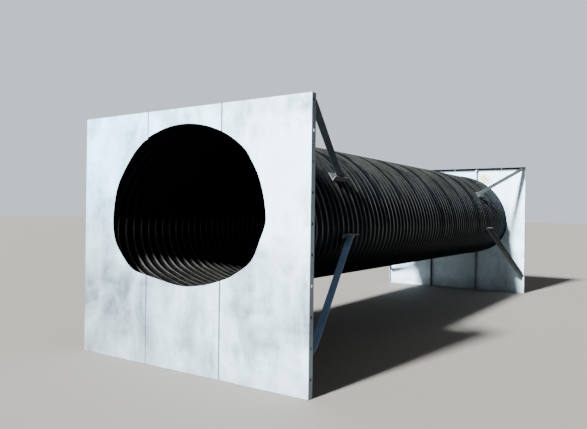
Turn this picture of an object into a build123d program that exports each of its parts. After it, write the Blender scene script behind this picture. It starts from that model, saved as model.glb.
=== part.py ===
from build123d import *
import os
from math import sin, cos, atan2, sqrt, radians, pi

os.makedirs("parts", exist_ok=True)

# ---------------------------------------------------------------- driving sizes, mm
LENGTH = 9690.0        # over both front faces, along the pipe
WALL_H = 2997.0        # headwall height
PANEL_W = 1143.0       # one of three sheet panels
SEAM_GAP = 3.0         # between neighbouring panels
SHEET = 3.4            # panel sheet
FLANGE = 76.0          # folded edge depth
BEND_R = 6.0           # outside bend radius
RELIEF = 3.0           # slit between two folded edges at a corner

HOLE_R = 16.0          # punched holes in the folded edges
FLANGE_Y = 40.0        # their distance from the front face
HOLE_STEP = 304.8      # between them, the first 63 below the top
SIDE_HOLES = [2934.0 - HOLE_STEP * i for i in range(10)]
SEAM_HOLES = [SIDE_HOLES[i] for i in (0, 7, 8, 9)]
EDGE_HOLES = (0.0,)    # along the top and bottom folded edges, from the panel's middle

# pipe outline, tangent arcs about the middle: crown, shoulders, corners, invert
PIPE_R = (1440.0, 1190.0, 684.0, 2320.0)
PIPE_A = (23.0, 84.0)  # where the crown and the shoulder end, degrees from the top
PIPE_TOP = 2818.0
PIPE_WALL = 28.0       # crest to crest depth of the corrugated wall
PIPE_CLEAR = 4.0       # folded edges are cut back this far from the pipe

# hole cut by hand in the front sheets, x and z, clockwise from the left seam; the left panel's cut is lower at the top
CUT_MAIN = [(-573, 2694), (-453, 2740), (-329, 2775), (-207, 2799), (-90, 2811), (29, 2814), (140, 2807), (255, 2791),
            (401, 2756), (568, 2696), (695, 2632), (827, 2543), (911, 2469), (985, 2366), (1052, 2256), (1099, 2154),
            (1133, 2050), (1158, 1948), (1175, 1846), (1183, 1752)]
CUT_LOW = [(1183, 1752), (1166, 1668), (1110, 1537), (1067, 1432), (984, 1298), (853, 1203), (718, 1126), (579, 1074),
           (437, 1031), (290, 999), (140, 978), (40, 971), (-60, 976), (-174, 989), (-338, 1018), (-506, 1045), (-573, 1057)]
CUT_LEFT = [(-573, 1057), (-679, 1075), (-768, 1096), (-858, 1140), (-950, 1216), (-1044, 1316), (-1135, 1448),
            (-1171, 1578), (-1180, 1703), (-1170, 1828), (-1150, 1952), (-1119, 2077), (-1062, 2200), (-976, 2325),
            (-884, 2440), (-770, 2556), (-700, 2611), (-640, 2652), (-573, 2676)]

# braces: equal angles
UP_LEG, LO_LEG, LEG_T = 76.0, 82.0, 6.4
UP_ROLL, UP_SHIFT = 20.0, (4.0, 25.0)    # the upper one's turn about its length; its shift along its two legs
UP_A, UP_FOOT, UP_Y = (1706.0, 50.0, 2905.0), 58.3, 1648.0    # wall end; clip's angle from the top and its distance back
LO_A, LO_B = (1700.0, 49.0, 400.0), (1312.0, 1609.0, 1566.0)
TAB_W, TAB_T = 64.0, 6.4
UP_TAB, LO_TAB = (2850.0, 2972.0), (372.0, 524.0)
CLIP_L, CLIP_W, CLIP_T = 320.0, 76.0, 6.4
UP_BASE, UP_STAND = 112.0, 66.0    # upper clip: across the leg on the pipe, and the standing leg
LO_CLIP_LEG, LO_CLIP_AT, LO_CLIP_TURN = 58.0, 97.2, 99.0      # leg down the pipe's side; where it starts and its lean

Y0 = -LENGTH / 2
PX = PANEL_W + SEAM_GAP


# ---------------------------------------------------------------- pipe outline
R1, R2, R3, R4 = PIPE_R
A1, A2 = (radians(q) for q in PIPE_A)
C1 = (0.0, PIPE_TOP - R1)
C2 = (C1[0] + (R1 - R2) * sin(A1), C1[1] + (R1 - R2) * cos(A1))
C3 = (C2[0] + (R2 - R3) * sin(A2), C2[1] + (R2 - R3) * cos(A2))
C4 = (0.0, C3[1] + sqrt((R4 - R3) ** 2 - C3[0] ** 2))
A3 = pi - atan2(C3[0], C4[1] - C3[1])


def pipe_wire(y, off=0.0):
    """Closed outline of tangent arcs in the plane y; off > 0 moves it outwards."""
    def at(k, ang, side=1):
        c, r = (C1, C2, C3, C4)[k], PIPE_R[k] + off
        return (side * (c[0] + r * sin(ang)), y, c[1] + r * cos(ang))

    arcs = [ThreePointArc(at(0, A1, -1), at(0, 0), at(0, A1))]
    for s in (1, -1):
        arcs.append(ThreePointArc(at(1, A1, s), at(1, (A1 + A2) / 2, s), at(1, A2, s)))
        arcs.append(ThreePointArc(at(2, A2, s), at(2, (A2 + A3) / 2, s), at(2, A3, s)))
    arcs.append(ThreePointArc(at(3, A3), at(3, pi), at(3, A3, -1)))
    return Wire(arcs)


def cut_wire(y):
    """Outline of the hand-cut hole; the step at the left seam lies in the gap between two panels."""
    runs = [Spline(*[(x, y, z) for x, z in pts]) for pts in (CUT_MAIN, CUT_LOW, CUT_LEFT)]
    step = Line((CUT_LEFT[-1][0], y, CUT_LEFT[-1][1]), (CUT_MAIN[0][0], y, CUT_MAIN[0][1]))
    return Wire([*runs, step])


def prism(wire, length):
    return Solid.extrude(Face(wire), Vector(0, length, 0))


def box(x0, x1, y0, y1, z0, z1):
    return Pos((x0 + x1) / 2, (y0 + y1) / 2, (z0 + z1) / 2) * Box(x1 - x0, y1 - y0, z1 - z0)


# ---------------------------------------------------------------- folded sheet panels
def pan(x0, x1, z0, z1):
    """Sheet with its four edges folded back, open to the rear."""
    outer = box(x0, x1, Y0, Y0 + FLANGE, z0, z1)
    outer = fillet(outer.faces().sort_by(Axis.Y)[0].edges(), BEND_R)
    inner = box(x0 + SHEET, x1 - SHEET, Y0 + SHEET, Y0 + FLANGE + 20, z0 + SHEET, z1 - SHEET)
    inner = fillet(inner.faces().sort_by(Axis.Y)[0].edges(), BEND_R - SHEET)
    body = outer - inner
    for sx in (x0 + SHEET, x1 - SHEET - RELIEF):
        for sz in (z0, z1):
            body -= box(sx, sx + RELIEF, Y0 + BEND_R + 4, Y0 + FLANGE + 20, sz - SHEET - 1, sz + SHEET + 1)
    return body


def hole_x(x, z, reach=30):
    return Pos(x, Y0 + FLANGE_Y, z) * Rot(0, 90, 0) * Cylinder(HOLE_R, reach)


def hole_z(x, z, reach=30):
    return Pos(x, Y0 + FLANGE_Y, z) * Cylinder(HOLE_R, reach)


def panel(col):
    """One full-height panel blank in column -1, 0 or 1, with the hole, edge cut-backs and punched holes."""
    xm = col * PX
    x0, x1 = xm - PANEL_W / 2, xm + PANEL_W / 2
    body = pan(x0, x1, 0, WALL_H)
    body -= prism(cut_wire(Y0 - 10), 20)
    body -= prism(pipe_wire(Y0 + SHEET, PIPE_CLEAR), FLANGE + 20)
    for x, edge in ((x0, -1), (x1, 1)):
        for z in SIDE_HOLES if col == edge else SEAM_HOLES:
            body -= hole_x(x, z)
    for dx in EDGE_HOLES:
        for z in (0, WALL_H):
            body -= hole_z(xm + dx, z)
    return body


left, centre, right = panel(-1), panel(0), panel(1)
pieces = sorted(centre.solids(), key=lambda s: s.center().Z)
lower, upper = pieces[0], pieces[-1]

# ---------------------------------------------------------------- pipe
pipe = prism(pipe_wire(Y0 + SHEET), LENGTH - 2 * SHEET) - prism(pipe_wire(Y0 - 50, -PIPE_WALL), LENGTH + 100)


# ---------------------------------------------------------------- braces and clips, right side of the near wall
def vec(p):
    return Vector(p[0], Y0 + p[1], p[2])


def angle_bar(a, b, leg, leg1, leg2):
    """Equal angle from a towards b, its first leg centred on that line. leg1 and leg2 run from the corner."""
    d = (b - a).normalized()
    length = (b - a).length
    u = (leg1 - d * leg1.dot(d)).normalized()
    w = d.cross(u)
    if w.dot(leg2) < 0:
        w = w * -1.0
    o = a - u * (leg / 2) - w * (LEG_T / 2)
    pts = [(0, 0), (leg, 0), (leg, LEG_T), (LEG_T, LEG_T), (LEG_T, leg), (0, leg)]
    p3 = [o + u * p[0] + w * p[1] for p in pts]
    face = Face(Wire([Line(p3[i], p3[(i + 1) % 6]) for i in range(6)]))
    return Solid.extrude(face, d * length)


def plate(o, e1, e2, y_mid, length):
    """Flat plate of section o, o+e1, o+e1+e2, o+e2 in the xz plane, along y."""
    y = Y0 + y_mid - length / 2
    q = [o, o + e1, o + e1 + e2, o + e2]
    q = [Vector(p.X, y, p.Z) for p in q]
    face = Face(Wire([Line(q[i], q[(i + 1) % 4]) for i in range(4)]))
    return Solid.extrude(face, Vector(0, length, 0))


pipe_body = prism(pipe_wire(Y0), LENGTH)
tab_x = 1.5 * PANEL_W + SEAM_GAP - SHEET

# upper clip: a bent plate, one leg on the crests, the other standing in the plane of the brace
ang = radians(UP_FOOT)
nrm = Vector(sin(ang), 0, cos(ang))
tan = Vector(-cos(ang), 0, sin(ang))
foot = Vector(C2[0] + R2 * sin(ang), 0, C2[1] + R2 * cos(ang))
v = Vector(UP_A[0] - foot.X, 0, UP_A[2] - foot.Z).normalized()
n_up = Vector(v.Z, 0, -v.X)
base = plate(foot, nrm * CLIP_T, tan * UP_BASE, UP_Y, CLIP_L)
stand = plate(foot, v * UP_STAND, n_up * -CLIP_T, UP_Y, CLIP_L)
up_clip = base + stand - pipe_body

# upper brace: its first leg faces down and out, the second turns in along its lower edge; the end stands on the clip's base
b = foot + v * 42.0 - n_up * (CLIP_T + LEG_T / 2)
b = Vector(b.X, Y0 + UP_Y, b.Z)
a = Vector(UP_A[0], 0, UP_A[2]) - n_up * (CLIP_T + LEG_T / 2)
a = Vector(a.X, Y0 + UP_A[1], a.Z)
d = (b - a).normalized()
u_up = (v - d * v.dot(d)).normalized()
roll = radians(UP_ROLL)
leg1 = u_up * cos(roll) + n_up * sin(roll)
leg2 = u_up * sin(roll) - n_up * cos(roll)
shift = leg1 * UP_SHIFT[0] + leg2 * UP_SHIFT[1]
up_bar = angle_bar(a - d * 90 + shift, b + d * 230 + shift, UP_LEG, leg1, leg2)
up_bar -= box(tab_x - TAB_T, tab_x + 400, Y0 - 500, Y0 + 500, 0, WALL_H + 400)
up_bar -= box(0, tab_x + 400, Y0 - 500, Y0 + 10, 0, WALL_H + 400)
up_bar -= box(0, tab_x + 400, Y0 - 500, Y0 + 500, WALL_H - 12, WALL_H + 400)
up_bar -= plate(foot + nrm * (CLIP_T + 1) - tan * 500, tan * 1000, nrm * -500, UP_Y, 1200)

# lower brace: the wide leg faces up and forward, the other hangs from its inner edge
a, b = vec(LO_A), vec(LO_B)
d = (b - a).normalized()
w_lo = d.cross(Vector(0, 0, 1)).normalized()
if w_lo.X < 0:
    w_lo = w_lo * -1.0
x_lo = w_lo.cross(d)
if x_lo.Z < 0:
    x_lo = x_lo * -1.0
lo_bar = angle_bar(a - d * 60, b + d * 90, LO_LEG, w_lo, x_lo * -1.0)
lo_bar -= box(tab_x - TAB_T, tab_x + 400, Y0 - 500, Y0 + 500, 0, WALL_H)
lo_bar -= box(0, tab_x + 400, Y0 - 500, Y0 + 10, 0, WALL_H)


def wall_tab(z0, z1):
    tab = box(tab_x - TAB_T, tab_x, Y0 + 8, Y0 + 8 + TAB_W, z0, z1)
    return fillet(tab.edges().filter_by(Axis.X), 8)


up_tab = wall_tab(*UP_TAB) - hole_x(tab_x, SIDE_HOLES[0])
lo_tab = wall_tab(*LO_TAB)

# lower clip: an angle lying against the pipe's side, one leg down it and one standing out
at_, turn = radians(LO_CLIP_AT), radians(LO_CLIP_TURN)
root = Vector(C3[0] + R3 * sin(at_), 0, C3[1] + R3 * cos(at_))
out_ = Vector(sin(turn), 0, cos(turn))
down = Vector(cos(turn), 0, -sin(turn))
LO_Y = LO_B[1]
lo_clip = plate(root, out_ * CLIP_T, down * LO_CLIP_LEG, LO_Y, CLIP_L)
lo_clip += plate(root, out_ * CLIP_W, down * CLIP_T, LO_Y, CLIP_L)
lo_clip -= pipe_body
lo_bar -= plate(root + down * CLIP_T - out_ * 400, out_ * 900, down * -500, LO_Y, 1400)
lo_bar -= plate(root + out_ * CLIP_T - down * 200, out_ * -500, down * 700, LO_Y, 1400)
lo_bar -= pipe_body


def biggest(s):
    return max(s.solids(), key=lambda q: q.volume)


right_side = {
    "upper_brace": biggest(up_bar),
    "lower_brace": biggest(lo_bar),
    "upper_tab": up_tab.solids()[0],
    "lower_tab": biggest(lo_tab),
    "upper_clip": biggest(up_clip),
    "lower_clip": biggest(lo_clip),
}

nodes = {
    "pipe": pipe.solids()[0],
    "near_panel_left": biggest(left),
    "near_panel_right": biggest(right),
    "near_panel_over": upper,
    "near_panel_under": lower,
}
for name, s in right_side.items():
    nodes["near_right_" + name] = s
    nodes["near_left_" + name] = mirror(s, about=Plane.YZ)
for name in [n for n in nodes if n.startswith("near_")]:
    nodes["far_" + name[5:]] = mirror(nodes[name], about=Plane.XZ)

for name, s in nodes.items():
    export_step(s, os.path.join("parts", name + ".step"))
    bb = s.bounding_box()
    print(name, [round(q, 1) for q in (*bb.min, *bb.max)], round(s.volume / 1e6, 3), "l", len(s.solids()))
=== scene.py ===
import bpy, math
import numpy as np
from mathutils import Vector, Matrix


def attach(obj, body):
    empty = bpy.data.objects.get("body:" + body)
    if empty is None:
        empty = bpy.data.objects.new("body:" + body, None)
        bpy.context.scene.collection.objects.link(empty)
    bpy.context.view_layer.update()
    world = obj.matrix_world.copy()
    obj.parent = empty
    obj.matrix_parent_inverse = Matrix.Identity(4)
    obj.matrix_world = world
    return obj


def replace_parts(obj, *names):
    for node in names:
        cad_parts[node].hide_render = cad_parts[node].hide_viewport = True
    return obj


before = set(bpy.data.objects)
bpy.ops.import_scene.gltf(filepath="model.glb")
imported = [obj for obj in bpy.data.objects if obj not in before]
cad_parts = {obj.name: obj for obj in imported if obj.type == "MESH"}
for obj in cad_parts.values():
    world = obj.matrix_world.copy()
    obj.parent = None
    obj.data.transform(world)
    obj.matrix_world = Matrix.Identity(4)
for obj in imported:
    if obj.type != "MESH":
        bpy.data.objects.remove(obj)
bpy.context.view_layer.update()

# ------------------------------------------------------------ sizes, metres
LENGTH, WALL_H, WALL_W = 9.690, 2.997, 3.435
Y0 = -LENGTH / 2
SHEET, FLANGE = 0.0034, 0.076
PANEL_W, SEAM_GAP = 1.143, 0.003
PX = PANEL_W + SEAM_GAP

# pipe outline: crown, shoulder, corner and invert radii, where the first two end, and the top
PIPE_R = (1.440, 1.190, 0.684, 2.320)
PIPE_A = (math.radians(23.0), math.radians(84.0))
PIPE_TOP = 2.818
PITCH = 0.127            # of the corrugation
DEPTH = 0.0252           # of the corrugation
GAUGE = 0.0028           # of the pipe's sheet



# ------------------------------------------------------------ node helpers
def new_material(name):
    m = bpy.data.materials.new(name)
    m.use_nodes = True
    nt = m.node_tree
    nt.nodes.clear()
    out = nt.nodes.new("ShaderNodeOutputMaterial")
    bsdf = nt.nodes.new("ShaderNodeBsdfPrincipled")
    nt.links.new(bsdf.outputs[0], out.inputs[0])
    return m, nt, bsdf


class Graph:
    """Short names for making node trees."""

    def __init__(self, nt):
        self.nt = nt

    def node(self, kind, **props):
        n = self.nt.nodes.new(kind)
        for k, v in props.items():
            setattr(n, k, v)
        return n

    def link(self, a, b):
        self.nt.links.new(a, b)

    def coords(self):
        return self.node("ShaderNodeTexCoord").outputs["Object"]

    def normal(self):
        return self.node("ShaderNodeNewGeometry").outputs["Normal"]

    def scaled(self, vec, sx, sy, sz, loc=(0, 0, 0)):
        n = self.node("ShaderNodeMapping")
        n.inputs["Scale"].default_value = (sx, sy, sz)
        n.inputs["Location"].default_value = loc
        self.link(vec, n.inputs["Vector"])
        return n.outputs[0]

    def noise(self, vec, scale=1.0, detail=4.0, rough=0.5, dist=0.0):
        n = self.node("ShaderNodeTexNoise")
        n.inputs["Scale"].default_value = scale
        n.inputs["Detail"].default_value = detail
        n.inputs["Roughness"].default_value = rough
        n.inputs["Distortion"].default_value = dist
        self.link(vec, n.inputs["Vector"])
        return n.outputs["Fac"]

    def voronoi(self, vec, scale=1.0, feature="F1", out="Color", rand=1.0):
        n = self.node("ShaderNodeTexVoronoi", feature=feature)
        n.inputs["Scale"].default_value = scale
        n.inputs["Randomness"].default_value = rand
        self.link(vec, n.inputs["Vector"])
        return n.outputs[out]

    def ramp(self, fac, stops, mode="LINEAR"):
        n = self.node("ShaderNodeValToRGB")
        cr = n.color_ramp
        cr.interpolation = mode
        while len(cr.elements) < len(stops):
            cr.elements.new(0.5)
        for e, (p, c) in zip(cr.elements, stops):
            e.position = p
            e.color = c if len(c) == 4 else (*c, 1)
        self.link(fac, n.inputs[0])
        return n.outputs[0]

    def maprange(self, v, a, b, c, d, clamp=True):
        n = self.node("ShaderNodeMapRange")
        n.clamp = clamp
        for i, q in enumerate((a, b, c, d)):
            n.inputs[i + 1].default_value = q
        self.link(v, n.inputs[0])
        return n.outputs[0]

    def math(self, op, a, b=None, clamp=False):
        n = self.node("ShaderNodeMath", operation=op, use_clamp=clamp)
        for i, q in enumerate((a, b)):
            if q is None:
                continue
            if isinstance(q, (int, float)):
                n.inputs[i].default_value = q
            else:
                self.link(q, n.inputs[i])
        return n.outputs[0]

    def mix(self, fac, a, b, blend="MIX"):
        n = self.node("ShaderNodeMix", data_type="RGBA", blend_type=blend)
        for sock, q in ((n.inputs[0], fac), (n.inputs[6], a), (n.inputs[7], b)):
            if isinstance(q, (int, float)):
                sock.default_value = q
            elif isinstance(q, tuple):
                sock.default_value = q if len(q) == 4 else (*q, 1)
            else:
                self.link(q, sock)
        return n.outputs[2]

    def xyz(self, vec):
        n = self.node("ShaderNodeSeparateXYZ")
        self.link(vec, n.inputs[0])
        return n.outputs

    def combine(self, x, y, z):
        n = self.node("ShaderNodeCombineXYZ")
        for i, q in enumerate((x, y, z)):
            if isinstance(q, (int, float)):
                n.inputs[i].default_value = q
            else:
                self.link(q, n.inputs[i])
        return n.outputs[0]

    def bump(self, height, strength, dist, normal=None):
        n = self.node("ShaderNodeBump")
        n.inputs["Strength"].default_value = strength
        n.inputs["Distance"].default_value = dist
        self.link(height, n.inputs["Height"])
        if normal is not None:
            self.link(normal, n.inputs["Normal"])
        return n.outputs[0]


# ------------------------------------------------------------ materials
def galvanized(name, base, streak=1.0, seed=0.0, metal=0.35, rough=(0.36, 0.58), grime=0.0, cloud=1.0, panel=False, underside_shade=None):
    """Weathered hot-dip zinc: fine spangle, soft clouds, run marks down the sheet."""
    m, nt, bsdf = new_material(name)
    g = Graph(nt)
    co = g.coords()
    x, y, z = g.xyz(co)
    shifted = g.scaled(co, 1, 1, 1, (seed, seed * 0.7, seed * 0.3))
    clouds = g.noise(shifted, 0.95, 3, 0.55, 0.7)
    patches = g.noise(g.scaled(shifted, 1.0, 1.0, 0.55), 2.9, 4, 0.55, 0.9)
    blots = g.noise(shifted, 9.0, 4, 0.6, 0.5)
    runs = g.noise(g.scaled(shifted, 10.0, 10.0, 0.35), 1.0, 5, 0.62, 0.15)
    wipes = g.noise(g.scaled(shifted, 1.1, 1.1, 7.5), 1.0, 4, 0.6, 0.3)
    spangle = g.voronoi(shifted, 62.0)
    sp = g.xyz(spangle)[0]
    grain = g.noise(shifted, 260.0, 3, 0.6)
    v = g.maprange(clouds, 0.32, 0.68, -0.17 * cloud, 0.17 * cloud)
    v = g.math("ADD", v, g.maprange(patches, 0.3, 0.7, -0.13 * cloud, 0.13 * cloud))
    v = g.math("ADD", v, g.maprange(wipes, 0.3, 0.7, -0.035 * cloud, 0.035 * cloud))
    v = g.math("ADD", v, g.maprange(blots, 0.3, 0.7, -0.04 * cloud, 0.04 * cloud))
    v = g.math("ADD", v, g.maprange(runs, 0.3, 0.7, -0.08 * streak, 0.08 * streak))
    if panel:
        n = g.xyz(g.normal())
        front = g.math("MULTIPLY", g.maprange(g.math("MULTIPLY", y, n[1]), 2.0, 3.0, 0.0, 1.0), g.maprange(y, 0.0, -1.0, 0.0, 1.0))
        v = g.math("MULTIPLY", v, g.maprange(front, 0.0, 1.0, 0.6, 1.0))
    v = g.math("ADD", v, g.maprange(sp, 0.0, 1.0, -0.02, 0.02))
    v = g.math("ADD", v, g.maprange(grain, 0.3, 0.7, -0.012, 0.012))
    v = g.math("MAXIMUM", g.math("ADD", v, 1.0), 0.4)
    if panel:
        # the near wall is brighter towards the upper right, duller at the lower left: partly duller zinc, partly
        # painted sky sheen and sun glare; the listed patches add painted bright sheen and two dull spots
        painted_light_and_zinc_tone = g.math("ADD", g.maprange(x, -1.5, 1.5, 0.78, 1.30), g.maprange(z, 1.0, 2.3, -0.28, 0.32))
        for cx, cz, rx, rz, gain in ((1.23, 2.10, 0.22, 0.85, 0.45), (-1.30, 2.60, 0.40, 0.30, 0.30), (0.10, 2.90, 0.60, 0.16, 0.35),
                                     (0.98, 1.02, 0.22, 0.20, 0.30), (-1.15, 0.68, 0.40, 0.24, -0.16), (0.95, 0.42, 0.40, 0.16, -0.16)):
            ex = g.math("DIVIDE", g.math("SUBTRACT", x, cx), rx)
            ez = g.math("DIVIDE", g.math("SUBTRACT", z, cz), rz)
            r = g.math("SQRT", g.math("ADD", g.math("MULTIPLY", ex, ex), g.math("MULTIPLY", ez, ez)))
            r = g.math("ADD", r, g.maprange(patches, 0.3, 0.7, -0.45, 0.45))
            painted_light_and_zinc_tone = g.math("ADD", painted_light_and_zinc_tone, g.math("MULTIPLY", g.maprange(r, 0.45, 1.05, 1.0, 0.0), gain))
        # painted light and shade on the far wall: brighter at its top, left and right edge, where more light falls, and
        # darker from 0.35 m up in the middle and right, in the shade of the pipe
        clean = g.math("ADD", g.maprange(x, 1.28, 1.46, 0.0, 0.55), g.maprange(z, 2.0, 2.45, 0.0, 0.6))
        clean = g.math("ADD", clean, g.maprange(x, -0.2, -0.8, 0.0, 0.42))
        clean = g.math("ADD", clean, g.maprange(x, 0.6, -0.3, 0.95, 1.22))
        clean = g.math("MULTIPLY", clean, g.math("SUBTRACT", 1.0, g.math("MULTIPLY", g.maprange(z, 0.35, 0.60, 0.0, 0.24), g.maprange(x, 1.0, 0.2, 0.0, 1.0))))
        far = g.maprange(y, 4.0, 4.2, 0.0, 1.0)
        painted_light_and_zinc_tone = g.math("ADD", g.math("MULTIPLY", painted_light_and_zinc_tone, g.math("SUBTRACT", 1.0, far)), g.math("MULTIPLY", clean, far))
        v = g.math("MULTIPLY", v, painted_light_and_zinc_tone)
    v = g.math("MINIMUM", v, 1.75)
    col = g.mix(1.0, base, g.combine(v, v, v), "MULTIPLY")
    # cooler and warmer zinc
    tone = g.maprange(g.noise(shifted, 1.7, 2, 0.5), 0.35, 0.65, 0.0, 1.0)
    col = g.mix(g.math("MULTIPLY", tone, 0.6), col, g.mix(1.0, col, (0.93, 0.98, 1.0), "MULTIPLY"))
    # duller, splashed foot
    foot = g.math("MULTIPLY", g.maprange(z, 0.0, 1.0, 1.0, 0.0), g.maprange(runs, 0.25, 0.75, 0.3, 1.0))
    col = g.mix(g.math("MULTIPLY", foot, 0.16 + grime), col, (0.30, 0.32, 0.33))
    splash = g.math("MULTIPLY", g.maprange(z, 0.0, 0.16, 1.0, 0.0), g.maprange(blots, 0.42, 0.62, 0.0, 1.0))
    col = g.mix(g.math("MULTIPLY", splash, 0.4), col, (0.20, 0.19, 0.17))
    if panel:
        # painted sky reflection: bluer towards the upper left of the panels
        sky_tint = g.math("MULTIPLY", g.maprange(z, 1.2, 2.2, 0.0, 1.0), g.maprange(x, 1.2, -1.0, 0.0, 1.0))
        col = g.mix(sky_tint, col, g.mix(1.0, col, (0.72, 0.98, 1.15), "MULTIPLY"))
        # painted shade on the folded edges: the outer side faces darker towards the top with a bluish sky tint, the top
        # face at half, the other fold faces at a quarter of the face colour
        edge = g.maprange(g.math("MAXIMUM", g.math("ABSOLUTE", n[0]), g.math("ABSOLUTE", n[2])), 0.55, 0.85, 0.0, 1.0)
        outer = g.math("MAXIMUM", g.maprange(g.math("ABSOLUTE", x), 1.7152, 1.7160, 0.0, 1.0), g.maprange(z, 2.9948, 2.9956, 0.0, 1.0))
        side_shade = g.maprange(z, 0.6, 2.5, 0.60, 0.24)
        side_shade = g.math("MAXIMUM", side_shade, g.maprange(z, 2.9948, 2.9956, 0.0, 0.5))
        side_shade = g.mix(1.0, g.combine(side_shade, side_shade, side_shade), (1.0, 1.01, 1.05), "MULTIPLY")
        edge_shade = g.mix(outer, (0.25, 0.26, 0.27), side_shade)
        col = g.mix(edge, col, g.mix(1.0, col, edge_shade, "MULTIPLY"))
        # painted shadow of the top fold on the inside faces: a dark band just under it
        inside = g.maprange(g.math("MULTIPLY", y, n[1]), -2.0, -3.0, 0.0, 1.0)
        fold_shadow = g.math("MULTIPLY", inside, g.maprange(z, 2.908, 2.922, 0.0, 1.0))
        col = g.mix(g.math("MULTIPLY", fold_shadow, 0.93), col, (0.024, 0.026, 0.027))
        # dark joints between panels: partly grime, partly painted shade of the narrow gap; on the inside faces a wider
        # band is painted shade of the seam flanges
        joint_grime_and_shade = g.math("ABSOLUTE", g.math("SUBTRACT", g.math("ABSOLUTE", x), 0.573))
        seam_flange_shade = g.math("MULTIPLY", inside, g.maprange(joint_grime_and_shade, 0.012, 0.020, 0.6, 0.0))
        joint_grime_and_shade = g.math("MAXIMUM", g.maprange(joint_grime_and_shade, 0.0060, 0.0165, 1.0, 0.0), seam_flange_shade)
        joint_grime_and_shade = g.math("MULTIPLY", joint_grime_and_shade, g.math("MULTIPLY", g.maprange(runs, 0.25, 0.6, 0.7, 1.0), g.maprange(z, 0.0, 0.4, 0.45, 1.0)))
        faint = g.math("MULTIPLY", g.maprange(x, 0.1, -0.1, 0.0, 0.65), g.math("MULTIPLY", g.maprange(z, 0.55, 0.75, 1.0, 0.0), front))
        joint_grime_and_shade = g.math("MULTIPLY", joint_grime_and_shade, g.math("SUBTRACT", 1.0, faint))
        col = g.mix(g.math("MULTIPLY", joint_grime_and_shade, 0.85), col, (0.055, 0.06, 0.065))
        # rust-yellow wash beside the far end of the pipe
        dx = g.math("SUBTRACT", x, 0.75)
        dz = g.math("MULTIPLY", g.math("SUBTRACT", z, 2.71), 1.25)
        r = g.math("SQRT", g.math("ADD", g.math("MULTIPLY", dx, dx), g.math("MULTIPLY", dz, dz)))
        wash = g.math("MULTIPLY", g.maprange(r, 0.08, 0.24, 1.0, 0.0), g.math("MULTIPLY", far, inside))
        wash = g.math("MULTIPLY", wash, g.maprange(blots, 0.35, 0.6, 0.5, 1.0))
        col = g.mix(g.math("MULTIPLY", wash, 0.95), col, (0.42, 0.42, 0.11))
        spot = g.math("MULTIPLY", wash, g.maprange(g.noise(shifted, 17.0, 3, 0.6), 0.56, 0.62, 0.0, 1.0))
        col = g.mix(g.math("MULTIPLY", spot, 0.6), col, (0.10, 0.09, 0.06))
    if underside_shade is not None:
        # painted shade on the undersides: faces turned down are darker
        dark = g.maprange(g.xyz(g.normal())[2], -0.7, -0.2, underside_shade, 1.0)
        col = g.mix(1.0, col, g.combine(dark, dark, dark), "MULTIPLY")
    # a few small pale and dark flecks of zinc ash
    fleck = g.voronoi(shifted, 7.0, out="Distance")
    pick = g.xyz(g.voronoi(shifted, 7.0))[1]
    fl = g.math("MULTIPLY", g.maprange(fleck, 0.035, 0.055, 1.0, 0.0), g.maprange(pick, 0.80, 0.82, 0.0, 1.0))
    col = g.mix(g.math("MULTIPLY", fl, 0.35), col, (0.34, 0.35, 0.36))
    nt.links.new(col, bsdf.inputs["Base Color"])
    r = g.maprange(patches, 0.3, 0.7, rough[0], rough[1])
    r = g.math("ADD", r, g.maprange(sp, 0, 1, -0.05, 0.05))
    r = g.math("ADD", r, g.math("MULTIPLY", foot, 0.12))
    nt.links.new(r, bsdf.inputs["Roughness"])
    bsdf.inputs["Metallic"].default_value = metal
    h = g.math("ADD", g.math("MULTIPLY", grain, 0.4), g.math("MULTIPLY", patches, 1.6))
    h = g.math("ADD", h, g.math("MULTIPLY", runs, 0.5))
    nt.links.new(g.bump(h, 0.10, 0.004), bsdf.inputs["Normal"])
    return m


def helix_coordinate(g, co):
    """Ribs counted along the helix, and the turn about the pipe, -0.5 to 0.5 from the crown."""
    x, y, z = g.xyz(co)
    turn = g.math("DIVIDE", g.math("ARCTAN2", x, g.math("SUBTRACT", z, HELIX_ZM)), 2 * math.pi)
    t = g.math("DIVIDE", g.math("SUBTRACT", y, g.math("MULTIPLY", turn, LEAD)), PITCH)
    return t, turn


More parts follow.
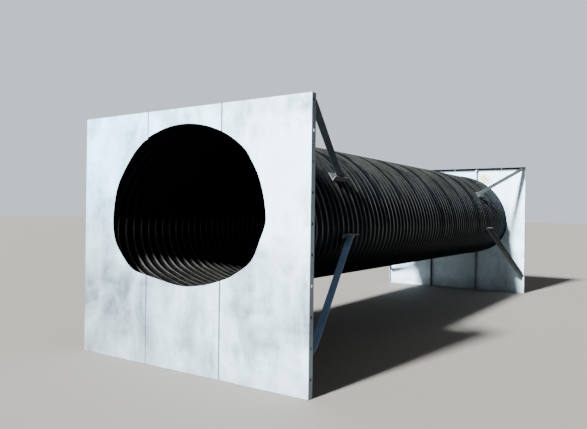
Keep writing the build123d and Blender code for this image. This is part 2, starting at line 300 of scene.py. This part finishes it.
def coated_pipe(name, inside=False):
    """Satin black coating: dust on the crests and over the top, pale crest lines on the sides that are part dust and
    part painted highlight, clean dark bands along the helix; inside, silt low down with painted highlights on the
    crests.
    """
    m, nt, bsdf = new_material(name)
    g = Graph(nt)
    co = g.coords()
    t, turn = helix_coordinate(g, co)
    rib = g.math("FLOOR", g.math("ADD", t, 0.5))
    crest = g.maprange(g.math("COSINE", g.math("MULTIPLY", t, 2 * math.pi)), -1.0, 1.0, 0.0, 1.0)
    if inside:
        crest = g.math("SUBTRACT", 1.0, crest)
    line = g.maprange(crest, 0.90, 0.99, 0.0, 1.0)
    per_rib = g.noise(g.combine(g.math("MULTIPLY", rib, 3.713), g.math("MULTIPLY", turn, 9.0), 0.0), 1.0, 3, 0.55)
    long_rib = g.noise(g.combine(g.math("MULTIPLY", rib, 1.37), g.math("MULTIPLY", turn, 16.0), 7.0), 1.0, 2, 0.5)
    n = g.xyz(g.normal())
    x, y, z = g.xyz(co)
    specks = g.noise(co, 42.0, 4, 0.6)
    cloud = g.noise(co, 2.2, 4, 0.6, 0.5)
    fine = g.noise(co, 190.0, 2, 0.6)
    # the outside coat is bluish black: the blue is painted sky light standing in for the blue shade on the sides
    coat = g.ramp(cloud, [(0.3, (0.0009, 0.0014, 0.0026)), (0.7, (0.0017, 0.0025, 0.0042))])
    if inside:
        coat = g.ramp(cloud, [(0.3, (0.0010, 0.0012, 0.0012)), (0.7, (0.0019, 0.0021, 0.0021))])
        low = g.maprange(z, 1.15, 1.70, 1.0, 0.0)
        silt = g.math("MULTIPLY", low, g.maprange(specks, 0.38, 0.62, 0.30, 1.0))
        silt = g.math("MULTIPLY", silt, g.maprange(per_rib, 0.3, 0.7, 0.55, 1.0), clamp=True)
        face = g.math("COSINE", g.math("MULTIPLY", g.math("SUBTRACT", t, 0.36), 2 * math.pi))
        face = g.math("MULTIPLY", g.maprange(face, 0.1, 0.9, 0.04, 1.0), g.maprange(z, 1.02, 1.22, 0.19, 0.10))
        face = g.math("MULTIPLY", face, g.maprange(g.noise(co, 17.0, 5, 0.8), 0.44, 0.60, 0.15, 2.6))
        silt = g.math("MULTIPLY", silt, g.math("MAXIMUM", face, line), clamp=True)
        col = g.mix(g.math("MULTIPLY", silt, 0.9), coat, (0.042, 0.0405, 0.0365))
        # pale thin lines on the crests of the invert: partly worn, dusty crests, partly a painted highlight of the sun
        # on them
        crest_wear_and_glint = g.math("MULTIPLY", g.maprange(crest, 0.95, 0.995, 0.0, 1.0), g.maprange(z, 1.10, 1.20, 1.0, 0.0))
        crest_wear_and_glint = g.math("MULTIPLY", crest_wear_and_glint, g.maprange(g.math("ADD", specks, per_rib), 0.75, 1.15, 0.15, 1.0))
        col = g.mix(g.math("MULTIPLY", crest_wear_and_glint, 0.8), col, (0.105, 0.103, 0.097))
        # pale crest lines low on the sides inside: partly dust, partly painted light on ridge tips lit from outside
        side_crest_dust_and_light = g.math("MULTIPLY", g.maprange(crest, 0.75, 0.97, 0.0, 1.0), g.maprange(z, 1.32, 1.62, 1.0, 0.0))
        side_crest_dust_and_light = g.math("MULTIPLY", side_crest_dust_and_light, g.maprange(g.math("ABSOLUTE", x), 0.72, 0.96, 0.0, 1.0))
        side_crest_dust_and_light = g.math("MULTIPLY", side_crest_dust_and_light, g.maprange(specks, 0.35, 0.6, 0.4, 1.0))
        col = g.mix(g.math("MULTIPLY", side_crest_dust_and_light, 0.8), col, (0.10, 0.10, 0.095))
        # painted glints: faint pale crest lines around the widest part, standing in for light reflected from the ground
        waist_glints = g.math("MULTIPLY", g.maprange(z, 1.42, 1.52, 0.0, 1.0), g.maprange(z, 1.64, 1.76, 1.0, 0.0))
        waist_glints = g.math("MULTIPLY", waist_glints, g.math("MULTIPLY", line, g.maprange(specks, 0.35, 0.6, 0.4, 1.0)))
        col = g.mix(g.math("MULTIPLY", waist_glints, 0.8), col, (0.22, 0.18, 0.15))
        rough = g.maprange(silt, 0, 1, 0.42, 0.75)
    else:
        lie = g.maprange(n[2], 0.12, 0.80, 0.0, 1.0)
        keep = g.maprange(g.math("ADD", g.math("MULTIPLY", per_rib, 0.55), g.math("MULTIPLY", cloud, 0.45)), 0.38, 0.54, 0.45, 1.0)
        turn6 = g.math("MODULO", g.math("ADD", t, 600.0 + 0.75), 6.0)
        strip = g.math("FLOOR", g.math("DIVIDE", g.math("ADD", t, 0.75), 6.0))
        wob = g.noise(g.combine(g.math("MULTIPLY", strip, 5.17), g.math("MULTIPLY", turn, 7.0), 3.0), 1.0, 2, 0.5)
        width = g.maprange(wob, 0.36, 0.66, 0.5, 2.7)
        band = g.math("MULTIPLY", g.maprange(turn6, 0.0, 0.2, 0.0, 1.0),
                      g.math("MULTIPLY", g.math("SUBTRACT", width, turn6), 4.0, clamp=True))
        dash = g.math("MULTIPLY", g.maprange(long_rib, 0.58, 0.66, 0.0, 0.8), g.maprange(crest, 1.0, 0.7, 0.2, 1.0))
        bare = g.math("MAXIMUM", band, dash)
        near_end = g.math("MULTIPLY", g.maprange(y, -2.9, -1.7, 0.75, 0.0), g.maprange(long_rib, 0.40, 0.52, 1.0, 0.25))
        bare = g.math("MAXIMUM", bare, near_end)
        clean = g.math("SUBTRACT", 1.0, g.math("MULTIPLY", bare, 0.93))
        over = g.maprange(g.math("ABSOLUTE", turn), 0.11, 0.215, 0.80, 0.10)
        grooved = g.math("ADD", over, g.math("MULTIPLY", g.math("SUBTRACT", 1.0, over), g.maprange(crest, 0.10, 0.62, 0.0, 1.0)))
        film = g.math("MULTIPLY", g.math("MULTIPLY", lie, keep), grooved)
        film = g.math("MULTIPLY", film, g.maprange(specks, 0.3, 0.62, 0.62, 1.0))
        film = g.math("MULTIPLY", film, g.maprange(cloud, 0.28, 0.6, 0.7, 1.0))
        at_end = g.maprange(y, 3.5, 4.3, 1.0, 0.5)
        film = g.math("MULTIPLY", g.math("MULTIPLY", film, at_end), clean, clamp=True)
        # pale crest lines on the sides: partly dust, partly a painted highlight of the sky on the crests of the shaded
        # side
        side = g.math("MULTIPLY", g.maprange(z, 1.40, 1.62, 0.07, 1.0), g.maprange(n[2], 0.75, 0.10, 0.10, 1.0))
        side = g.math("MULTIPLY", side, g.maprange(y, -3.3, -2.3, 0.6, 1.0))
        crest_dust_and_highlight = g.math("MULTIPLY", g.math("MULTIPLY", line, side), g.maprange(long_rib, 0.35, 0.6, 0.45, 1.0))
        crest_dust_and_highlight = g.math("MULTIPLY", crest_dust_and_highlight, g.math("SUBTRACT", 1.0, g.math("MULTIPLY", bare, 0.75)))
        crest_dust_and_highlight = g.math("MULTIPLY", g.math("MULTIPLY", crest_dust_and_highlight, at_end), g.maprange(specks, 0.3, 0.55, 0.85, 1.0), clamp=True)
        dust = g.ramp(specks, [(0.3, (0.0200, 0.0210, 0.0180)), (0.6, (0.0285, 0.0295, 0.0256)), (0.85, (0.054, 0.054, 0.048))])
        col = g.mix(film, coat, dust)
        col = g.mix(g.math("MULTIPLY", crest_dust_and_highlight, 0.95), col, (0.235, 0.260, 0.265))
        rough = g.maprange(g.math("MAXIMUM", film, crest_dust_and_highlight), 0, 1, 0.42, 0.80)
    nt.links.new(col, bsdf.inputs["Base Color"])
    nt.links.new(g.math("ADD", rough, g.maprange(fine, 0.3, 0.7, -0.04, 0.04)), bsdf.inputs["Roughness"])
    bsdf.inputs["Specular IOR Level"].default_value = 0.05
    bsdf.inputs["Specular Tint"].default_value = (1.0, 0.96, 0.90, 1) if inside else (0.72, 0.88, 1.0, 1)
    h = g.math("ADD", g.math("MULTIPLY", fine, 0.25), g.math("MULTIPLY", specks, 0.7))
    nt.links.new(g.bump(h, 0.16, 0.002), bsdf.inputs["Normal"])
    return m


HELIX_ZM = 1.62
LEAD = 6 * PITCH

M_SHEET = galvanized("zinc_sheet", (0.352, 0.462, 0.532), streak=1.0, seed=0.0, metal=0.25, rough=(0.42, 0.62), cloud=2.4, panel=True)
M_ANGLE = galvanized("zinc_angle", (0.140, 0.148, 0.140), streak=0.6, seed=4.3, metal=0.6, rough=(0.42, 0.60), cloud=1.2)
# painted shade: a darker, bluer copy of the zinc angle for the near upper braces, which are seen in shade
M_ANGLE_SHADE = galvanized("zinc_angle_painted_shade", (0.043, 0.060, 0.078), streak=0.6, seed=5.9, metal=0.5, rough=(0.45, 0.65), cloud=1.2)
# lit copy of the zinc angle: darker, to offset the sun that falls on the far upper braces and far lower clips
M_ANGLE_SUN_DIMMED = galvanized("zinc_angle_sun_dimmed", (0.078, 0.091, 0.094), streak=0.6, seed=2.2, metal=0.6, rough=(0.42, 0.60), cloud=1.2)
# painted shade: a darker copy of the zinc angle for the far lower braces, which are in shade
M_ANGLE_FAR_SHADE = galvanized("zinc_angle_olive", (0.060, 0.067, 0.069), streak=0.6, seed=1.4, metal=0.3, rough=(0.50, 0.68), cloud=1.2)
# upper clips: a slightly darker zinc with painted shade on their undersides
M_CLIP = galvanized("zinc_clip", (0.115, 0.122, 0.128), streak=0.6, seed=7.7, metal=0.5, rough=(0.45, 0.65), cloud=1.2, underside_shade=0.20)
# painted sky reflection: a blue copy of the zinc angle for the near lower braces, which are lit by the blue sky
M_ANGLE_SKY = galvanized("zinc_angle_painted_sky", (0.165, 0.275, 0.44), streak=0.6, seed=3.1, metal=0.6, rough=(0.40, 0.58), cloud=1.0)
M_BOLT = galvanized("zinc_bolts", (0.24, 0.25, 0.26), streak=0.0, seed=9.1, metal=0.7, rough=(0.3, 0.5))
M_WELD = galvanized("zinc_welds", (0.10, 0.105, 0.11), streak=0.0, seed=6.7, metal=0.6, rough=(0.45, 0.65))
M_PIPE = coated_pipe("pipe_coat_outside")
M_BORE = coated_pipe("pipe_coat_inside", inside=True)


def end_ring_shade(name):
    """Near-black painted shade for the end rings, dull and slightly lumpy."""
    m, nt, bsdf = new_material(name)
    g = Graph(nt)
    n = g.noise(g.coords(), 55.0, 3, 0.6)
    nt.links.new(g.ramp(n, [(0.3, (0.00025, 0.00028, 0.0003)), (0.7, (0.0005, 0.00055, 0.0006))]), bsdf.inputs["Base Color"])
    bsdf.inputs["Roughness"].default_value = 0.85
    bsdf.inputs["Specular IOR Level"].default_value = 0.0
    nt.links.new(g.bump(n, 0.3, 0.003), bsdf.inputs["Normal"])
    return m


M_END_SHADE = end_ring_shade("pipe_end_painted_shade")

# the braces and clips get copies of the zinc angle coloured for the light on each: painted light and shade
for name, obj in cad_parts.items():
    mat = M_SHEET if "panel" in name else M_ANGLE
    if name.startswith("near") and name.endswith("lower_brace"):
        mat = M_ANGLE_SKY
    if name.startswith("near") and name.endswith("upper_brace"):
        mat = M_ANGLE_SHADE
    if name.startswith("far") and name.endswith("upper_brace"):
        mat = M_ANGLE_SUN_DIMMED
    if name.startswith("far") and name.endswith("lower_brace"):
        mat = M_ANGLE_FAR_SHADE
    if name.startswith("far") and name.endswith("lower_clip"):
        mat = M_ANGLE_SUN_DIMMED
    if name.endswith("upper_clip"):
        mat = M_CLIP
    if name == "pipe":
        mat = M_PIPE
    obj.data.materials.clear()
    obj.data.materials.append(mat)


# ------------------------------------------------------------ mesh helpers
def mesh_object(name, verts, faces, material, smooth=True):
    me = bpy.data.meshes.new(name)
    me.from_pydata([tuple(v) for v in verts], [], [tuple(int(i) for i in f) for f in faces])
    me.validate()
    me.update()
    if smooth:
        me.polygons.foreach_set("use_smooth", [True] * len(me.polygons))
    ob = bpy.data.objects.new(name, me)
    bpy.context.scene.collection.objects.link(ob)
    me.materials.append(material)
    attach(ob, "root")
    return ob


def arch(s, off=0.0):
    """Point and outward normal (x, z) at arc length s from the crown, for arrays; off moves it outwards."""
    sg, a = np.sign(s), np.abs(s)
    k = np.clip(np.searchsorted(ARC_S, a, side="right") - 1, 0, 3)
    ang = ARC_A[k] + (a - ARC_S[k]) / ARC_R[k]
    nx, nz = np.sin(ang), np.cos(ang)
    x, z = ARC_C[k, 0] + (ARC_R[k] + off) * nx, ARC_C[k, 1] + (ARC_R[k] + off) * nz
    return sg * x, z, sg * nx, nz


def arc_table():
    r, (a1, a2) = PIPE_R, PIPE_A
    c = [(0.0, PIPE_TOP - r[0])]
    for k, q in ((0, a1), (1, a2)):
        c.append((c[k][0] + (r[k] - r[k + 1]) * math.sin(q), c[k][1] + (r[k] - r[k + 1]) * math.cos(q)))
    zb = c[2][1] + math.sqrt((r[3] - r[2]) ** 2 - c[2][0] ** 2)
    c.append((0.0, zb))
    start = [0.0, a1, a2, math.pi - math.atan2(c[2][0], zb - c[2][1])]
    run, lengths = 0.0, []
    for k, end in enumerate(start[1:] + [math.pi]):
        lengths.append(run)
        run += r[k] * (end - start[k])
    return np.array(r), np.array(c), np.array(start), np.array(lengths), 2 * run


ARC_R, ARC_C, ARC_A, ARC_S, PERIM = arc_table()
END = LENGTH / 2 - SHEET


def turn_of(x, z):
    return np.arctan2(x, z - HELIX_ZM) / (2 * math.pi)


def shell(name, side, rows_per_pitch, columns, y_from, y_to, material):
    """One face of the corrugated sheet between two stations. side is +1 outside and -1 inside."""
    s = np.linspace(-PERIM / 2, PERIM / 2, columns + 1)
    x0, z0, nx, nz = arch(s)
    x0[0] = x0[-1] = 0.0
    turn = turn_of(x0, z0)
    turn[0], turn[-1] = -0.5, 0.5
    dy = PITCH / rows_per_pitch
    i0 = int(math.floor((y_from - LEAD / 2) / dy)) - 1
    i1 = int(math.ceil((y_to + LEAD / 2) / dy)) + 1
    rows = np.arange(i0, i1 + 1)
    yy = rows[:, None] * dy + LEAD * turn[None, :]
    y = np.clip(yy, y_from, y_to)
    wave = np.cos(2 * math.pi * (y - LEAD * turn[None, :]) / PITCH)
    off = -(DEPTH + GAUGE) / 2 + DEPTH / 2 * wave + side * GAUGE / 2
    X = x0[None, :] + nx[None, :] * off
    Z = z0[None, :] + nz[None, :] * off
    live = yy == y
    R, C = y.shape
    idx = np.arange(R * C).reshape(R, C)
    a, b, c, d = idx[:-1, :-1], idx[:-1, 1:], idx[1:, 1:], idx[1:, :-1]
    use = live[:-1, :-1] | live[:-1, 1:] | live[1:, 1:] | live[1:, :-1]
    # the first column is the same line as the last, one lead further on
    k = 6 * rows_per_pitch
    remap = idx.copy()
    remap[k:, 0] = idx[:-k, -1]
    quads = np.stack([remap[:-1, :-1][use], remap[:-1, 1:][use], remap[1:, 1:][use], remap[1:, :-1][use]], 1)
    if side < 0:
        quads = quads[:, ::-1]
    verts = np.stack([X.ravel(), y.ravel(), Z.ravel()], 1)
    used = np.unique(quads)
    new = np.full(len(verts), -1)
    new[used] = np.arange(len(used))
    ob = mesh_object(name, verts[used], new[quads], material)
    import bmesh
    bm = bmesh.new()
    bm.from_mesh(ob.data)
    bmesh.ops.remove_doubles(bm, verts=bm.verts, dist=2e-5)
    bmesh.ops.dissolve_degenerate(bm, edges=bm.edges, dist=1e-5)
    bmesh.ops.recalc_face_normals(bm, faces=[])
    bm.to_mesh(ob.data)
    bm.free()
    ob.data.polygons.foreach_set("use_smooth", [True] * len(ob.data.polygons))
    return ob


CUTS = [-END, -1.6, 1.6, END]
for i in range(3):
    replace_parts(shell("pipe_outside_%d" % (i + 1), 1, 10, 128, CUTS[i], CUTS[i + 1], M_PIPE), "pipe")
for i, (a, b) in enumerate(((-END, 0.0), (0.0, END))):
    shell("pipe_inside_%d" % (i + 1), -1, 8, 112, a, b, M_BORE)


def sweep_closed(name, profile, y_of, material, columns=160):
    """Ring with a section in (offset, y) round the pipe; y_of shifts it along by the turn."""
    s = np.linspace(-PERIM / 2, PERIM / 2, columns, endpoint=False)
    verts, faces = [], []
    P = len(profile)
    for off, yo in profile:
        x, z, nx, nz = arch(s)
        turn = turn_of(x, z)
        verts.append(np.stack([x + nx * off, y_of(turn) + yo, z + nz * off], 1))
    V = np.stack(verts, 1).reshape(-1, 3)
    for c in range(columns):
        for p in range(P):
            a, b = c * P + p, c * P + (p + 1) % P
            d, e = ((c + 1) % columns) * P + p, ((c + 1) % columns) * P + (p + 1) % P
            faces.append((a, b, e, d))
    return mesh_object(name, V, faces, material, smooth=False)


# closing ring where the sheet meets each wall, near-black as painted shade
for name, y in (("pipe_ring_near", -END), ("pipe_ring_far", END - 0.005)):
    sweep_closed(name, [(0.010, 0.0), (0.010, 0.005), (-0.030, 0.005), (-0.030, 0.0)], lambda t, y=y: 0 * t + y, M_END_SHADE)


# lock seam: one folded ridge a turn, in a trough of the corrugation
def lock_seam(name, y_from, y_to, material):
    per_turn = 160
    trough = PITCH / 2
    k0 = int(math.floor((y_from - LEAD / 2 - trough) / LEAD))
    k1 = int(math.ceil((y_to + LEAD / 2 - trough) / LEAD))
    s = np.linspace(-PERIM / 2, PERIM / 2, per_turn + 1)
    x0, z0, nx, nz = arch(s)
    turn = turn_of(x0, z0)
    turn[0], turn[-1] = -0.5, 0.5
    base = -(DEPTH + GAUGE)
    prof = [(-0.013, 0.0), (-0.011, 0.0052), (0.010, 0.0052), (0.012, 0.0)]
    V, F = [], []
    last = None
    for k in range(k0, k1 + 1):
        for j in range(per_turn + (k == k1)):
            y = trough + k * LEAD + LEAD * turn[j]
            if not (y_from + 0.02 < y < y_to - 0.02):
                last = None
                continue
            n0 = len(V)
            for dy, h in prof:
                wave = math.cos(2 * math.pi * (trough + dy) / PITCH)
                off = -(DEPTH + GAUGE) / 2 + DEPTH / 2 * wave + GAUGE / 2 + h - 0.0006
                V.append((x0[j] + nx[j] * off, y + dy, z0[j] + nz[j] * off))
            if last is not None:
                for p in range(len(prof)):
                    q = (p + 1) % len(prof)
                    F.append((last + p, last + q, n0 + q, n0 + p))
            else:
                F.append(tuple(n0 + p for p in reversed(range(len(prof)))))
            last = n0
    return mesh_object(name, V, F, material, smooth=False)


lock_seam("pipe_lock_seam", -END, END, M_PIPE)


# ------------------------------------------------------------ bolts
def frame_of(axis):
    a = Vector(axis).normalized()
    u = a.orthogonal().normalized()
    return a, u, a.cross(u)


def hex_head(V, F, p, axis, af=0.024, h=0.010, washer=0.017, wt=0.003, turn=0.0):
    """Washer and chamfered hexagon standing on the point p."""
    a, u, w = frame_of(axis)
    p = Vector(p)

    def ring(n, r, z, t=0.0):
        i0 = len(V)
        for k in range(n):
            q = 2 * math.pi * k / n + t
            V.append(tuple(p + a * z + (u * math.cos(q) + w * math.sin(q)) * r))
        return i0

    def band(i, j, n):
        for k in range(n):
            F.append((i + k, i + (k + 1) % n, j + (k + 1) % n, j + k))

    n = 20
    r0, r1, r2 = ring(n, washer, 0.0), ring(n, washer, wt * 0.8), ring(n, washer * 0.95, wt)
    band(r0, r1, n)
    band(r1, r2, n)
    F.append(tuple(r2 + k for k in range(n)))
    F.append(tuple(r0 + k for k in reversed(range(n))))
    R = af / 2 / math.cos(math.pi / 6)
    h0, h1, h2 = ring(6, R, wt, turn), ring(6, R, wt + h * 0.82, turn), ring(6, R * 0.86, wt + h, turn)
    band(h0, h1, 6)
    band(h1, h2, 6)
    F.append(tuple(h2 + k for k in range(6)))
    F.append(tuple(h0 + k for k in reversed(range(6))))
    return wt + h


def bolt_end(V, F, p, axis, z0, r=0.008, length=0.012):
    a, u, w = frame_of(axis)
    p = Vector(p)
    n, rings = 12, []
    for z, q in ((z0 - 0.002, r), (z0 + length - 0.0015, r), (z0 + length, r * 0.82)):
        i0 = len(V)
        for k in range(n):
            t = 2 * math.pi * k / n
            V.append(tuple(p + a * z + (u * math.cos(t) + w * math.sin(t)) * q))
        rings.append(i0)
    for i, j in zip(rings, rings[1:]):
        for k in range(n):
            F.append((i + k, i + (k + 1) % n, j + (k + 1) % n, j + k))
    F.append(tuple(rings[-1] + k for k in range(n)))
    F.append(tuple(rings[0] + k for k in reversed(range(n))))


rng = np.random.default_rng(7)
HOLES = [2.934 - 0.3048 * i for i in range(10)]
for wall, sy in (("near", -1), ("far", 1)):
    V, F = [], []
    y = sy * (LENGTH / 2 - 0.040)
    for sx in (-1, 1):
        seam = sx * (PANEL_W / 2 + SEAM_GAP / 2)
        for i in (0, 7, 8, 9):
            head, nut = (seam + 0.0015 + SHEET, y, HOLES[i]), (seam - 0.0015 - SHEET, y, HOLES[i])
            hex_head(V, F, head, (1, 0, 0), af=0.041, h=0.017, washer=0.026, wt=0.004, turn=rng.uniform(0, 1))
            top = hex_head(V, F, nut, (-1, 0, 0), af=0.041, h=0.022, washer=0.026, wt=0.004, turn=rng.uniform(0, 1))
            bolt_end(V, F, nut, (-1, 0, 0), top, r=0.0135, length=0.010)
    mesh_object("bolts_%s_wall" % wall, V, F, M_BOLT, smooth=False)


# ------------------------------------------------------------ weld beads
def bead(V, F, path, r, rng, closed=True):
    """Rippled round bead along a path of points."""
    pts = [Vector(q) for q in path]
    fine = []
    for i in range(len(pts) - (0 if closed else 1)):
        a, b = pts[i], pts[(i + 1) % len(pts)]
        n = max(1, int(round((b - a).length / 0.007)))
        fine += [a.lerp(b, k / n) for k in range(n)]
    if not closed:
        fine.append(pts[-1])
    N, K, start = len(fine), 6, len(V)
    for i, p in enumerate(fine):
        ahead, back = fine[(i + 1) % N], fine[i - 1]
        if not closed:
            ahead, back = fine[min(i + 1, N - 1)], fine[max(i - 1, 0)]
        _, u, w = frame_of(ahead - back)
        q = r * (0.82 + 0.2 * math.sin(i * 1.9) + 0.2 * rng.uniform(-1, 1))
        for k in range(K):
            t = 2 * math.pi * k / K
            V.append(tuple(p + (u * math.cos(t) + w * math.sin(t)) * q))
    for i in range(N if closed else N - 1):
        j = (i + 1) % N
        # ring j is turned to the nearest match of ring i
        off = min(range(K), key=lambda o: (Vector(V[start + i * K]) - Vector(V[start + j * K + o])).length)
        for k in range(K):
            F.append((start + i * K + k, start + i * K + (k + 1) % K,
                      start + j * K + (k + 1 + off) % K, start + j * K + (k + off) % K))
    if not closed:
        F.append(tuple(start + k for k in reversed(range(K))))
        F.append(tuple(start + (N - 1) * K + k for k in range(K)))


def section(a, b, leg, leg1, leg2, t=0.0064):
    """Corners of an equal angle's section at a, and its direction."""
    d = (b - a).normalized()
    u = (leg1 - d * leg1.dot(d)).normalized()
    w = d.cross(u)
    if w.dot(leg2) < 0:
        w = -w
    o = a - u * (leg / 2) - w * (t / 2)
    return [o + u * p + w * q for p, q in ((0, 0), (leg, 0), (leg, t), (t, t), (t, leg), (0, leg))], d


def meet(points, d, p0, n):
    """Where the lines through the points along d cross a plane."""
    return [q + d * ((p0 - q).dot(n) / d.dot(n)) for q in points]


R2_, C2_ = PIPE_R[1], Vector((ARC_C[1, 0], 0, ARC_C[1, 1]))
ang = math.radians(58.3)
nrm, tan = Vector((math.sin(ang), 0, math.cos(ang))), Vector((-math.cos(ang), 0, math.sin(ang)))
foot = C2_ + nrm * R2_
v = Vector((1.706 - foot.x, 0, 2.905 - foot.z)).normalized()
n_up = Vector((v.z, 0, -v.x))
b = foot + v * 0.042 - n_up * 0.0096
b.y = Y0 + 1.648
a = Vector((1.706, 0, 2.905)) - n_up * 0.0096
a.y = Y0 + 0.050
d = (b - a).normalized()
u = (v - d * v.dot(d)).normalized()
roll = math.radians(20.0)
leg1, leg2 = u * math.cos(roll) + n_up * math.sin(roll), u * math.sin(roll) - n_up * math.cos(roll)
shift = leg1 * 0.004 + leg2 * 0.025
up_pts, up_d = section(a + shift, b + shift, 0.076, leg1, leg2)
la, lb = Vector((1.700, Y0 + 0.049, 0.400)), Vector((1.312, Y0 + 1.609, 1.566))
ld = (lb - la).normalized()
lw = ld.cross(Vector((0, 0, 1))).normalized()
lx = lw.cross(ld)
if lx.z < 0:
    lx = -lx
lo_pts, lo_d = section(la, lb, 0.082, lw, -lx)
at_, turn_ = math.radians(97.2), math.radians(99.0)
root = Vector((ARC_C[2, 0] + PIPE_R[2] * math.sin(at_), 0, ARC_C[2, 1] + PIPE_R[2] * math.cos(at_)))
out_, down = Vector((math.sin(turn_), 0, math.cos(turn_))), Vector((math.cos(turn_), 0, -math.sin(turn_)))
TAB_IN = 1.5 * PANEL_W + SEAM_GAP - SHEET - 0.0064
ends = [
    meet(up_pts, up_d, foot + nrm * 0.0066, nrm),
    meet(lo_pts, lo_d, root + down * 0.0066, down),
    [q for q in meet(lo_pts, lo_d, Vector((TAB_IN, 0, 0)), Vector((1, 0, 0)))],
    [q for q in meet(up_pts, up_d, Vector((TAB_IN, 0, 0)), Vector((1, 0, 0)))],
]
clip_lines = [
    (foot + nrm * 0.0020 + tan * 0.113, Y0 + 1.648),
    (foot + nrm * 0.0010 - tan * 0.001, Y0 + 1.648),
    (root + down * 0.059 + out_ * 0.0015, Y0 + 1.609),
    (root - down * 0.001 + out_ * 0.0015, Y0 + 1.609),
]
for wall, sy in (("near", 1), ("far", -1)):
    V, F = [], []
    for sx in (1, -1):
        for path in ends:
            clean = [q for q in path if q.z < WALL_H - 0.014 and abs(q.y) < LENGTH / 2 - 0.010]
            if len(clean) >= 3:
                bead(V, F, [(sx * q.x, sy * q.y, q.z) for q in clean], 0.0042, rng, closed=len(clean) == len(path))
        for p, ym in clip_lines:
            for k in (-2, -1, 0, 1, 2):
                yc = ym + 0.066 * k
                bead(V, F, [(sx * p.x, sy * (yc - 0.016), p.z), (sx * p.x, sy * yc, p.z), (sx * p.x, sy * (yc + 0.016), p.z)], 0.0036, rng, closed=False)
    mesh_object("welds_%s_wall" % wall, V, F, M_WELD, smooth=True)


# ------------------------------------------------------------ floor, light, camera
def stage_plane(name, size, z, color):
    me = bpy.data.meshes.new(name)
    s = size / 2
    me.from_pydata([(-s, -s, z), (s, -s, z), (s, s, z), (-s, s, z)], [], [(0, 1, 2, 3)])
    ob = bpy.data.objects.new(name, me)
    bpy.context.scene.collection.objects.link(ob)
    m, nt, bsdf = new_material(name)
    bsdf.inputs["Base Color"].default_value = (*color, 1)
    bsdf.inputs["Roughness"].default_value = 0.9
    me.materials.append(m)
    return ob


stage_plane("floor", 400.0, -0.0005, (0.143, 0.131, 0.115))

# pale backdrop all round; it is only seen, and neither lights nor shades anything
me = bpy.data.meshes.new("backdrop")
V, F, NA, NE = [], [], 64, 14
for i in range(NE):
    e = math.radians(-1.0 + 91.0 * i / NE)
    for k in range(NA):
        q = 2 * math.pi * k / NA
        V.append((190 * math.cos(e) * math.cos(q), 190 * math.cos(e) * math.sin(q), 190 * math.sin(e)))
V.append((0, 0, 190))
for i in range(NE - 1):
    for k in range(NA):
        F.append((i * NA + k, i * NA + (k + 1) % NA, (i + 1) * NA + (k + 1) % NA, (i + 1) * NA + k))
for k in range(NA):
    F.append(((NE - 1) * NA + k, (NE - 1) * NA + (k + 1) % NA, NE * NA))
me.from_pydata(V, [], F)
me.polygons.foreach_set("use_smooth", [True] * len(me.polygons))
dome = bpy.data.objects.new("backdrop", me)
bpy.context.scene.collection.objects.link(dome)
mat = bpy.data.materials.new("backdrop")
mat.use_nodes = True
mat.node_tree.nodes.clear()
em = mat.node_tree.nodes.new("ShaderNodeEmission")
em.inputs[0].default_value = (0.74, 0.83, 0.92, 1)
em.inputs[1].default_value = 1.05
mat.node_tree.links.new(em.outputs[0], mat.node_tree.nodes.new("ShaderNodeOutputMaterial").inputs[0])
me.materials.append(mat)
for flag in ("visible_diffuse", "visible_glossy", "visible_transmission", "visible_volume_scatter", "visible_shadow"):
    setattr(dome, flag, False)

world = bpy.data.worlds.new("studio")
bpy.context.scene.world = world
world.use_nodes = True
bg = world.node_tree.nodes["Background"]
bg.inputs[0].default_value = (0.89, 0.915, 0.95, 1)
bg.inputs[1].default_value = 0.31

sun = bpy.data.lights.new("key", "SUN")
sun.energy = 27.0
sun.angle = math.radians(6.0)
sun.color = (0.96, 0.99, 1.0)
key = bpy.data.objects.new("key", sun)
bpy.context.scene.collection.objects.link(key)
travel = Vector((0.2296, 1.4919, -1.0)).normalized()
key.rotation_euler = travel.to_track_quat("-Z", "Y").to_euler()
key.location = (-4, -14, 12)

cam_data = bpy.data.cameras.new("camera")
cam_data.sensor_fit = "HORIZONTAL"
cam_data.sensor_width = 36.0
cam_data.lens = 36.0 * 574.0 / 587.0
cam_data.clip_end = 500.0
cam = bpy.data.objects.new("camera", cam_data)
bpy.context.scene.collection.objects.link(cam)
yaw, pitch, roll = math.radians(33.5), math.radians(-0.06), math.radians(0.78)
fwd = Vector((-math.sin(yaw) * math.cos(pitch), math.cos(yaw) * math.cos(pitch), math.sin(pitch)))
right = Vector((math.cos(yaw), math.sin(yaw), 0.0))
up = right.cross(fwd)
r2 = right * math.cos(roll) + up * math.sin(roll)
u2 = -right * math.sin(roll) + up * math.cos(roll)
rot = Matrix((r2, u2, -fwd)).transposed()
cam.matrix_world = Matrix.Translation((4.6518, -9.5791, 1.8093)) @ rot.to_4x4()
bpy.context.scene.camera = cam
